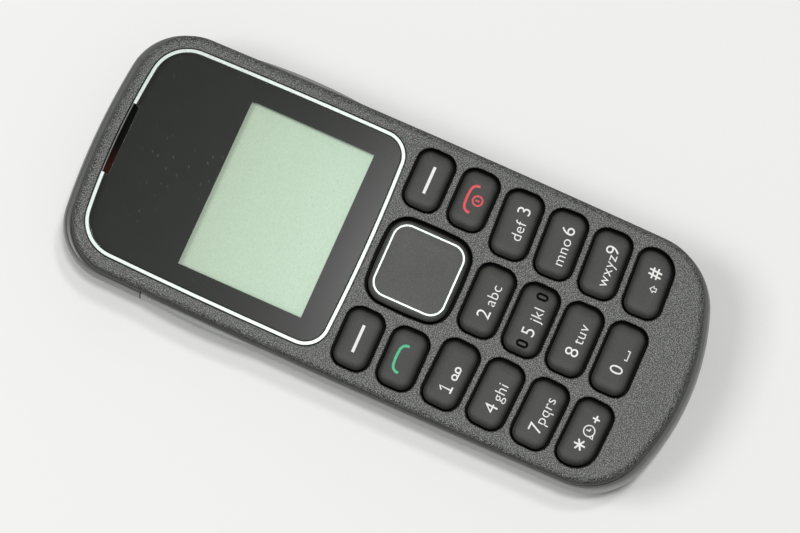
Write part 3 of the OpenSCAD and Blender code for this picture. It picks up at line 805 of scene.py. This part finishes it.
# Profiles as (inset, height over the face), from the top of the flange to the crown
KEY_PROFILE = (
    (0.0, -2.0), (0.0, -1.05), (0.1, -0.75), (0.24, -0.45), (0.38, -0.18),
    (0.5, 0.0), (0.65, 0.12), (0.85, 0.19), (1.2, 0.245), (1.8, 0.28),
)
NAV_PROFILE = (
    (0.0, -2.6), (0.0, -1.05), (0.1, -0.75), (0.25, -0.45), (0.42, -0.18),
    (0.6, -0.01), (0.8, 0.08), (1.05, 0.13), (1.5, 0.16), (2.3, 0.19),
)
# Below this level a key is black rubber, which also stands in for the shade deep in its gap
COAT_END = FACE - 0.7  # a key's grey coat ends here
NAV_DOMES = [NAV_POS + 4.6 * Vector(way) for way in ((1, 0), (0, 1), (-1, 0), (0, -1))]
PLUNGER_R, NAV_PLUNGER_R = 1.5, 1.2
PLUNGER = (FACE - 3.8, FACE - 2.5)
NAV_PLUNGER = (FACE - 3.8, FACE - 2.8)
BALL_ROOM_R, BALL_ROOM = 2.2, (FACE - 4.6, FACE - 1.2)
MARK_SIZE, MARK_R, MARK_W = Vector((1.25, 2.1)), 0.62, 0.4
MARK_X, MARK_Y = 4.2, -0.2
MARK_FLOOR = FACE - 0.85
LINE_SIZE, LINE_R, LINE_W = 2 * Vector((6.42, 6.34)), 2.6, 0.36
LINE_FOOT, LINE_CROWN = FACE - 0.1, FACE + 0.24


def rubber_cap(name, trace, profile, gap, foot):
    """A pillow key on a flange that stays behind the cover: straight in its hole, soft shoulders."""
    top = profile[0][1]
    flange = [(-FLANGE_W, FACE + foot), (-FLANGE_W, FACE + top), (gap, FACE + top)]
    return lofted(trace, flange + [(gap + inset, FACE + z) for inset, z in profile[1:]], name)


def finger_mark(pos):
    """Cuts a ring-shaped groove into the middle key, which the finger feels."""
    trace = partial(rect_ring, size=MARK_SIZE, radii=[MARK_R] * 4, pos=pos)
    low, high = MARK_FLOOR, FACE + PAST
    return hoop(trace, [(0, low), (0, high), (MARK_W, high), (MARK_W, low)], "groove")


def key_cap(key):
    """A rubber key with its plunger. Returns its surface, for the print to lie on."""
    made = rubber_cap(key.name + "_cap", partial(key_ring, key=key), KEY_PROFILE, KEY_GAP, KEY_FOOT)
    settle(made, [post(key.pos, PLUNGER_R, *PLUNGER)], "UNION")
    if key.name == "key_5":
        settle(made, [finger_mark(key.pos + Vector((side * MARK_X, MARK_Y))) for side in (-1, 1)])
    shape = bmesh.new()
    shape.from_mesh(made.data)
    top = BVHTree.FromBMesh(shape)
    shape.free()
    place(made, RUBBER, key.name, [key.name], low=(COAT_END, BLACK_RUBBER))
    return top


def nav_cap():
    """The navigation key, hollow underneath for the ball of its post."""
    made = rubber_cap("nav_key_cap", NAV_TRACE, NAV_PROFILE, NAV_GAP, NAV_FOOT)
    settle(made, [post(pos, NAV_PLUNGER_R, *NAV_PLUNGER) for pos in NAV_DOMES], "UNION")
    settle(made, [post(NAV_POS, BALL_ROOM_R, *BALL_ROOM)])
    return place(made, NAV_RUBBER, "nav_rocker", ["nav_key"], low=(COAT_END, BLACK_RUBBER))


def nav_line():
    """The bright line let into the navigation key, with softened edges."""
    soft, shoulder = 0.03, LINE_CROWN - 0.05
    crest = [(0, shoulder), (soft, LINE_CROWN), (LINE_W - soft, LINE_CROWN), (LINE_W, shoulder)]
    trace = partial(rect_ring, size=LINE_SIZE, radii=[LINE_R] * 4, pos=NAV_POS, steps=10)
    made = hoop(trace, [(0, LINE_FOOT)] + crest + [(LINE_W, LINE_FOOT)], "nav_key_line")
    return place(made, TRIM, "nav_rocker", ["nav_key_trim"])


# Legends

INK_T = 0.03
INK_SINK = 0.005  # how deep the print lies in the rubber
DIGIT_H = 2.35
DIGIT_SHARE = 0.73  # a digit's height in the typeface, as a share of the text size
BASELINE = -1.5
LETTER_SIZE = 2.62
LETTER_DROP = 0.05
LETTER_SPACE = 1.05
LETTER_THIN = -0.02  # moves the letters' edges inwards
STROKE_W = 0.29
SIGN_W = 0.45
DASH_W = 0.5
LEGEND_SHIFT = Vector((0, 0.1))
CAST_Z = FACE + 5  # above every key's crown


def curve_mesh(curve):
    """The mesh of a curve or text, as a bmesh at the origin."""
    carrier = linked("carrier", curve)
    mesh = shaped_mesh(carrier)
    bpy.data.objects.remove(carrier)
    bm = bmesh.new()
    bm.from_mesh(mesh)
    bpy.data.meshes.remove(mesh)
    return bm


def lettering(text, size, x, y):
    """A word as a thin solid, from its left end and its baseline."""
    curve = bpy.data.curves.new("word", "FONT")
    curve.body = text
    curve.size = size
    curve.extrude = INK_T / 2
    curve.space_character = LETTER_SPACE
    curve.offset = LETTER_THIN
    bm = curve_mesh(curve)
    left = min(v.co.x for v in bm.verts)
    bmesh.ops.translate(bm, vec=(x - left, y, 0), verts=bm.verts)
    return bm


def stroke(points, width, closed=False, smooth=False):
    """A drawn line of even width through its points, as a flat solid."""
    curve = bpy.data.curves.new("stroke", "CURVE")
    curve.dimensions = "3D"
    curve.bevel_depth = width / 2
    curve.bevel_resolution = 2
    curve.use_fill_caps = True
    spline = curve.splines.new("BEZIER")
    spline.bezier_points.add(len(points) - 1)
    for knot, (x, y) in zip(spline.bezier_points, points):
        knot.co = (x, y, 0)
        knot.handle_left_type = knot.handle_right_type = "AUTO" if smooth else "VECTOR"
    spline.use_cyclic_u = closed
    spline.resolution_u = 8 if smooth else 1
    bm = curve_mesh(curve)
    bmesh.ops.scale(bm, vec=(1, 1, INK_T / width), verts=bm.verts)
    return bm


def circle(x, y, radius, width):
    """A ring drawn as one smooth line."""
    places = [math.pi / 2 * i for i in range(4)]
    points = [(x + radius * math.cos(a), y + radius * math.sin(a)) for a in places]
    return stroke(points, width, closed=True, smooth=True)


def handset(x, y):
    """A telephone handset drawn as one line: a straight grip with its two ends turned in."""
    half, drop = 2.35, 1.25
    side = [(half, -drop), (half * 0.93, -drop * 0.42), (half * 0.7, -drop * 0.06), (half * 0.4, 0.06)]
    points = [(x - px, y + py) for px, py in side] + [(x + px, y + py) for px, py in reversed(side)]
    return stroke(points, SIGN_W, smooth=True)


def digit(text, x):
    """A figure on the common baseline."""
    return lettering(text, DIGIT_H / DIGIT_SHARE, x, BASELINE)


def letters(number, number_x, word, word_x):
    """A digit and its letters, side by side."""
    return [digit(number, number_x), lettering(word, LETTER_SIZE, word_x, BASELINE - LETTER_DROP)]


def one(x):
    """The figure 1 with a flag and a foot."""
    stem = x + 0.55
    top = BASELINE + DIGIT_H - STROKE_W / 2
    foot = BASELINE + STROKE_W / 2
    return [
        stroke([(x, top - 0.5), (stem, top), (stem, foot)], STROKE_W),
        stroke([(x - 0.02, foot), (x + 1.12, foot)], STROKE_W),
    ]


def voicemail(x, y):
    """Two reels on one line."""
    radius, pitch, width = 0.43, 1.3, 0.28
    return [
        circle(x, y, radius, width),
        circle(x + pitch, y, radius, width),
        stroke([(x, y - radius), (x + pitch, y - radius)], width),
    ]


def star(x, y, reach):
    """Three lines that cross in one point."""
    lines = []
    for turn in range(3):
        way = Vector((math.sin(math.pi / 3 * turn), math.cos(math.pi / 3 * turn))) * reach
        lines.append(stroke([(x - way.x, y - way.y), (x + way.x, y + way.y)], STROKE_W))
    return lines


def clock(x, y):
    """A clock face in a speech bubble."""
    return [
        circle(x, y, 0.92, 0.2),
        stroke([(x, y + 0.5), (x, y - 0.05), (x + 0.42, y - 0.1)], 0.24),
        stroke([(x - 0.86, y - 0.4), (x - 1.05, y - 1.05), (x - 0.4, y - 0.86)], 0.22),
    ]


def plus(x, y, reach):
    """A plus sign."""
    return [
        stroke([(x - reach, y), (x + reach, y)], STROKE_W),
        stroke([(x, y - reach), (x, y + reach)], STROKE_W),
    ]


def space_bar(x, y):
    """The sign of the space: a line with its ends turned up."""
    length, rise = 1.6, 0.45
    return [stroke([(x, y + rise), (x, y), (x + length, y), (x + length, y + rise)], 0.24)]


def shift_arrow(x, y):
    """The outline of an arrow that points up."""
    left = [(-0.28, -0.45), (-0.28, 0.05), (-0.58, 0.05)]
    points = [(0, 0.6)] + [(-px, py) for px, py in reversed(left)] + left
    return [stroke([(x + px, y + py) for px, py in points], 0.22, closed=True)]


def hash_sign(x, y):
    """Two leaning lines crossed by two level ones."""
    lean = 0.14
    lines = []
    for shift in (-0.38, 0.38):
        lines.append(stroke([(x + shift - lean, y - 1.1), (x + shift + lean, y + 1.1)], STROKE_W))
        lines.append(stroke([(x - 0.95, y + shift), (x + 0.95, y + shift)], STROKE_W))
    return lines


def dash():
    """The plain line of a selection key."""
    return [stroke([(-2.4, -0.1), (2.4, -0.1)], DASH_W)]


def power_sign(x, y):
    """A ring with a bar in it."""
    return [circle(x, y, 0.82, 0.32), stroke([(x, y + 0.4), (x, y - 0.35)], 0.3)]


# Each key's signs, about the key's own centre
LEGENDS = {
    "key_1": lambda: one(-2.95) + voicemail(-0.2, BASELINE + 0.6),
    "key_2": lambda: letters("2", -2.95, "abc", -0.6),
    "key_3": lambda: letters("3", 1.95, "def", -2.55),
    "key_4": lambda: letters("4", -3.15, "ghi", -0.95),
    "key_5": lambda: letters("5", -2.6, "jkl", -0.1),
    "key_6": lambda: letters("6", 1.85, "mno", -3.45),
    "key_7": lambda: letters("7", -3.1, "pqrs", -1.45),
    "key_8": lambda: letters("8", -2.8, "tuv", -0.55),
    "key_9": lambda: letters("9", 1.85, "wxyz", -3.75),
    "key_star": lambda: star(-2.0, -0.1, 0.98) + clock(0.72, -0.55) + plus(2.95, -0.75, 0.62),
    "key_0": lambda: [digit("0", -2.5)] + space_bar(0.2, -1.4),
    "key_hash": lambda: hash_sign(1.85, -0.35) + shift_arrow(-0.75, -1.0),
    "key_soft_left": dash,
    "key_soft_right": dash,
    "key_call": lambda: [handset(-0.15, 0.95)],
    "key_end": lambda: [handset(0.1, 1.0)] + power_sign(0.1, -0.75),
}
INKS = {"key_call": GREEN_INK, "key_end": RED_INK}


def legend(key, top):
    """A key's printed signs as one thin solid that lies on its crown."""
    bm = bmesh.new()
    for sign in LEGENDS[key.name]():
        mesh = bpy.data.meshes.new("sign")
        sign.to_mesh(mesh)
        sign.free()
        bm.from_mesh(mesh)
        bpy.data.meshes.remove(mesh)
    bmesh.ops.rotate(bm, cent=(0, 0, 0), matrix=Matrix.Rotation(key.turn, 3, "Z"), verts=bm.verts)
    pos = key.pos + LEGEND_SHIFT
    bmesh.ops.translate(bm, vec=(pos.x, pos.y, 0), verts=bm.verts)
    for v in bm.verts:
        hit = top.ray_cast(Vector((v.co.x, v.co.y, CAST_Z)), Vector((0, 0, -1)))[0]
        v.co.z += hit.z + INK_T / 2 - INK_SINK
    made = solid(bm, key.name + "_legend")
    return place(made, INKS.get(key.name, WHITE_INK), key.name)


for key in KEYS:
    legend(key, key_cap(key))
nav_cap()
nav_line()


# The rear shell: the fixed top cap and the sliding battery cover

ARC_STEPS = 12
CLIMB_STEPS = 9  # how many of those steps lead from the belt up to the rim
# Insets and drops of the rim's rings
RIM_CREST = ((0, 0.22), (0.04, 0.08), (0.12, 0.02), (0.22, 0.06), (0.36, 0.25), (REAR_WALL - 0.05, 0.25))


def mixed(flare):
    """The rear shell's outline between the front cover's and its own widest one."""
    return Outline(*[a + (b - a) * flare for a, b in zip(FRONT, REAR)])


def rear_levels():
    """The shell's rings: from the flat back round the belt to the rim, then down the inside."""
    rim = PARTING - SEAM
    rise = rim - BELT
    tucks = [math.pi / 2 * (1 - i / ARC_STEPS) for i in range(ARC_STEPS + 1)]
    climbs = [math.pi / 2 * i / ARC_STEPS for i in range(1, CLIMB_STEPS + 1)]
    outer = [(REAR, BACK_IN * (1 - math.cos(a)), BELT * (1 - math.sin(a))) for a in tucks]
    sides = []
    for a in climbs:
        sides.append((mixed(RIM_FLARE + (1 - RIM_FLARE) * math.cos(a)), BELT + rise * math.sin(a)))
    outer += [(form, 0, z) for form, z in sides]
    outer += [(mixed(RIM_FLARE), inset, rim - drop) for inset, drop in RIM_CREST]
    inner = [(form, REAR_WALL, z) for form, z in reversed(sides)]
    for a in reversed(tucks):
        tuck = (BACK_IN - REAR_WALL) * (1 - math.cos(a))
        inner.append((REAR, REAR_WALL + tuck, BELT - (BELT - REAR_WALL) * math.sin(a)))
    return outer + inner


def rear_piece(name, y, keep_upper):
    """The part of the rear shell on one side of the split."""
    bm = bmesh.new()
    levels = rear_levels()
    rings = [arc_ring(bm, inset, z, form) for form, inset, z in levels]
    walls(bm, rings, [z for _, _, z in levels])
    cap(bm, rings[0])
    cap(bm, rings[-1])
    bmesh.ops.remove_doubles(bm, verts=bm.verts, dist=MERGE)
    bmesh.ops.bisect_plane(
        bm,
        geom=bm.verts[:] + bm.edges[:] + bm.faces[:],
        plane_co=(0, y, 0),
        plane_no=(0, 1, 0),
        clear_inner=keep_upper,
        clear_outer=not keep_upper,
    )
    skin(bm, [e for e in bm.edges if e.is_boundary])
    return solid(bm, name)


MOUTH_IN, MOUTH_OUT, MOUTH_FLARE = 0.2, 0.4, 0.3


def end_bore(end, radius, depth, x, z):
    """Cuts a round hole with a flared mouth into the top end (1) or the bottom end (-1)."""
    deep, mouth = end * (HALF_L - depth), end * (HALF_L - MOUTH_IN)
    outside = mouth + end * MOUTH_OUT
    profile = [(0, deep), (radius, deep), (radius, mouth), (radius + MOUTH_FLARE, outside), (0, outside)]
    return turned(profile, (x, z))


TORCH_Z, TORCH_R = 7, 1.7
TORCH_GAP, TORCH_DEPTH = 0.05, 6
GRILLE_POS, GRILLE_PITCH = Vector((1.2, 43.5)), 1.4
GRILLE_SLOT, GRILLE_R = Vector((9, 0.8)), 0.39
CAP_POSTS = (Vector((-8.8, 46.3)), Vector((11.2, 46.3)))
CAP_POST_R, CAP_POST_TOP = 1.1, 7.2
TONGUE_X, TONGUE_HALF_W = 9, 3.5
# Corners of a tongue's root and of its tip, as places past the split and heights
TONGUE_ROOT = ((0.5, REAR_WALL - 0.3), (2.9, REAR_WALL + 1))
TONGUE_TIP = ((-2.5, REAR_WALL + 0.25), (2.5, REAR_WALL + 1))


def top_cap():
    """The fixed end of the shell, with the torch's hole, the loudspeaker's slots, posts and tongues."""
    made = rear_piece("top_cap_shell", SPLIT + SEAM, True)
    joined = [post(pos, CAP_POST_R, REAR_WALL / 2, CAP_POST_TOP) for pos in CAP_POSTS]
    for x in (-TONGUE_X, TONGUE_X):
        left, right = x - TONGUE_HALF_W, x + TONGUE_HALF_W
        for (near, low), (far, high) in (TONGUE_ROOT, TONGUE_TIP):
            joined.append(block((left, SPLIT + near, low), (right, SPLIT + far, high)))
    settle(made, joined, "UNION")
    cutters = [end_bore(1, TORCH_R + TORCH_GAP, TORCH_DEPTH, 0, TORCH_Z)]
    for i in range(-2, 3):
        pos = GRILLE_POS + Vector((0, GRILLE_PITCH * i))
        trace = partial(rect_ring, size=GRILLE_SLOT, radii=[GRILLE_R] * 4, pos=pos)
        cutters.append(prism(trace, -PAST, REAR_WALL + 0.2))
    settle(made, cutters)
    return place(made, CAP_SHELL, "phone", ["top_cap"])


GRIP_R = 92
GRIP_Y, GRIP_L = 23.5, 22
GRIP_Z = (9.2, 12.2)
GRIP_BACK = Vector((-0.6, 0, 0))  # from the grip's ends to its back, inside the wall
GRIP_SOFT = 0.35


def side_grip(side):
    """A low bow with softened edges, which stands out of the shell's side."""
    bm = bmesh.new()
    reach = math.asin(GRIP_L / 2 / GRIP_R)
    low, high = GRIP_Z
    middle = Vector((HALF_W - GRIP_R, GRIP_Y, low))
    start = bm.verts.new(middle + GRIP_R * Vector((math.cos(reach), -math.sin(reach), 0)))
    back = bm.verts.new(start.co + GRIP_BACK)
    bmesh.ops.spin(bm, geom=[start], cent=middle, axis=(0, 0, 1), angle=2 * reach, steps=24)
    end = next(v for v in bm.verts if v.co.y > GRIP_Y + GRIP_L / 2 - 0.01)
    far = bm.verts.new(end.co + GRIP_BACK)
    for pair in ((start, back), (back, far), (far, end)):
        bm.edges.new(pair)
    plate = bmesh.ops.edgeloop_fill(bm, edges=bm.edges)["faces"]
    top = bmesh.ops.extrude_face_region(bm, geom=plate)["geom"]
    top = [v for v in top if isinstance(v, bmesh.types.BMVert)]
    bmesh.ops.translate(bm, vec=(0, 0, high - low), verts=top)
    # The bow's short edges run along its two rims
    bow = [e for e in bm.edges if all(v.co.x > start.co.x + 0.001 for v in e.verts)]
    bmesh.ops.bevel(
        bm,
        geom=[e for e in bow if e.calc_length() < (high - low) / 2],
        offset=GRIP_SOFT,
        segments=3,
        profile=0.5,
        affect="EDGES",
        material=-1,
        clamp_overlap=True,
    )
    bmesh.ops.scale(bm, vec=(side, 1, 1), verts=bm.verts)
    return solid(bm, "grip")


HOOK_X, HOOK_ROWS = 20.65, (18, -6, -28)
HOOK_HALF = Vector((0.8, 3))
HOOK_Z = (8.2, 8.9)
# Holes of the headset socket, the charger socket and the microphone, as places across and radii
PORTS = ((6.5, 2.9), (-6.5, 1.9), (0, 0.5))
PORT_Z, PORT_DEPTH = 5.6, 3.9


def battery_cover():
    """The sliding cover, with its grips, the hooks that hold it to the deck and the connectors' holes."""
    made = rear_piece("battery_cover_shell", SPLIT, False)
    joined = []
    for side in (-1, 1):
        joined.append(side_grip(side))
        for y in HOOK_ROWS:
            middle = Vector((side * HOOK_X, y))
            joined.append(block((*(middle - HOOK_HALF), HOOK_Z[0]), (*(middle + HOOK_HALF), HOOK_Z[1])))
    settle(made, joined, "UNION")
    settle(made, [end_bore(-1, radius, PORT_DEPTH, x, PORT_Z) for x, radius in PORTS])
    return place(made, SHELL, "rear_slide", ["battery_cover"])


LENS_BACK, LENS_FRONT = HALF_L - 2.6, HALF_L - 0.25
LENS_DOME, LENS_STEPS = 0.35, 8
LENS_RIM_R, LENS_RIM_T = TORCH_R + 0.4, 0.55


def torch_lens():
    """A turned clear lens with a domed face and a rim behind the cap's wall."""
    step = LENS_BACK + LENS_RIM_T
    profile = [(0, LENS_BACK), (LENS_RIM_R, LENS_BACK), (LENS_RIM_R, step), (TORCH_R, step)]
    for i in range(LENS_STEPS + 1):
        a = math.pi / 2 * i / LENS_STEPS
        profile.append((TORCH_R * math.cos(a), LENS_FRONT - LENS_DOME + LENS_DOME * math.sin(a)))
    made = turned(profile, (0, TORCH_Z), "torch_lens_turned")
    return place(made, ACRYLIC, "phone", ["torch_lens"])


top_cap()
battery_cover()
torch_lens()


# Floor, light and camera

FLOOR_HALF = 1.5  # metres
FLOOR_DROP = 0.05  # millimetres, so that the table's face and the phone's back aren't one
WORLD_LEVEL = 0.22
# Square lamps: name, watts, side and place in metres
LAMPS = (
    ("key_softbox", 6.8, 0.5, (-0.34, 0.7, 1.1)),
    ("top_softbox", 5.2, 0.13, (-0.02, -0.04, 1.3)),
    ("window_softbox", 2.7, 0.12, (0.25, -0.075, 1.3)),
)


def floor():
    """A pale table top under the phone."""
    bm = bmesh.new()
    bmesh.ops.create_grid(bm, x_segments=1, y_segments=1, size=FLOOR_HALF)
    bmesh.ops.translate(bm, vec=(0, 0, -FLOOR_DROP * MM), verts=bm.verts)
    mesh = bpy.data.meshes.new("table")
    bm.to_mesh(mesh)
    bm.free()
    made = linked("table", mesh)
    material, tree, surface, _ = new_material("white_laminate")
    add_surface(tree, surface, {"Base Color": srgb("#f3f3f1"), "Roughness": 0.7})
    mesh.materials.append(material)


def softbox(name, energy, size, location):
    """A square soft lamp that faces the phone."""
    lamp = bpy.data.lights.new(name, "AREA")
    lamp.shape = "SQUARE"
    lamp.size = size
    lamp.energy = energy
    made = linked(name, lamp)
    made.location = location
    made.rotation_euler = (-Vector(location)).to_track_quat("-Z", "Y").to_euler()


def studio():
    """A soft lamp beyond the phone's top end, a compact one overhead and one that the window mirrors."""
    world = bpy.data.worlds.new("studio")
    bpy.context.scene.world = world
    world.use_nodes = True
    tree = world.node_tree
    tree.nodes.clear()
    back = add(tree, "Background", {"Color": srgb("#ffffff"), "Strength": WORLD_LEVEL})
    add(tree, "OutputWorld", {"Surface": back.outputs["Background"]})
    for lamp in LAMPS:
        softbox(*lamp)


# The photograph's view, in millimetres and degrees: tilt about the long axis, nod and roll about the target
VIEW_TILT, VIEW_NOD, VIEW_ROLL = (math.radians(a) for a in (10.69, 1.14, 23.92))
VIEW_TARGET = Vector((-0.658, -1.294, FACE))
VIEW_DISTANCE = 600
FOCAL_PX, IMAGE_W = 3680.4, 800
SENSOR_W = 36


def camera():
    """The camera, where the photograph was taken from."""
    data = bpy.data.cameras.new("view")
    made = linked("view", data)
    bpy.context.scene.camera = made
    data.sensor_width = SENSOR_W
    data.lens = FOCAL_PX / IMAGE_W * SENSOR_W
    data.clip_start = 0.01
    level = math.cos(VIEW_NOD)
    look = Vector((math.sin(VIEW_TILT) * level, math.sin(VIEW_NOD), -math.cos(VIEW_TILT) * level))
    along = Vector((0, 1, 0))
    along = (along - look * along.dot(look)).normalized()
    across = along.cross(-look)
    right = -math.cos(VIEW_ROLL) * along + math.sin(VIEW_ROLL) * across
    up = math.sin(VIEW_ROLL) * along + math.cos(VIEW_ROLL) * across
    turn = Matrix((right, up, -look)).transposed().to_4x4()
    eye = (VIEW_TARGET - VIEW_DISTANCE * look) * MM
    made.matrix_world = Matrix.Translation(eye) @ turn


floor()
studio()
camera()
bpy.context.scene.view_settings.view_transform = "Standard"
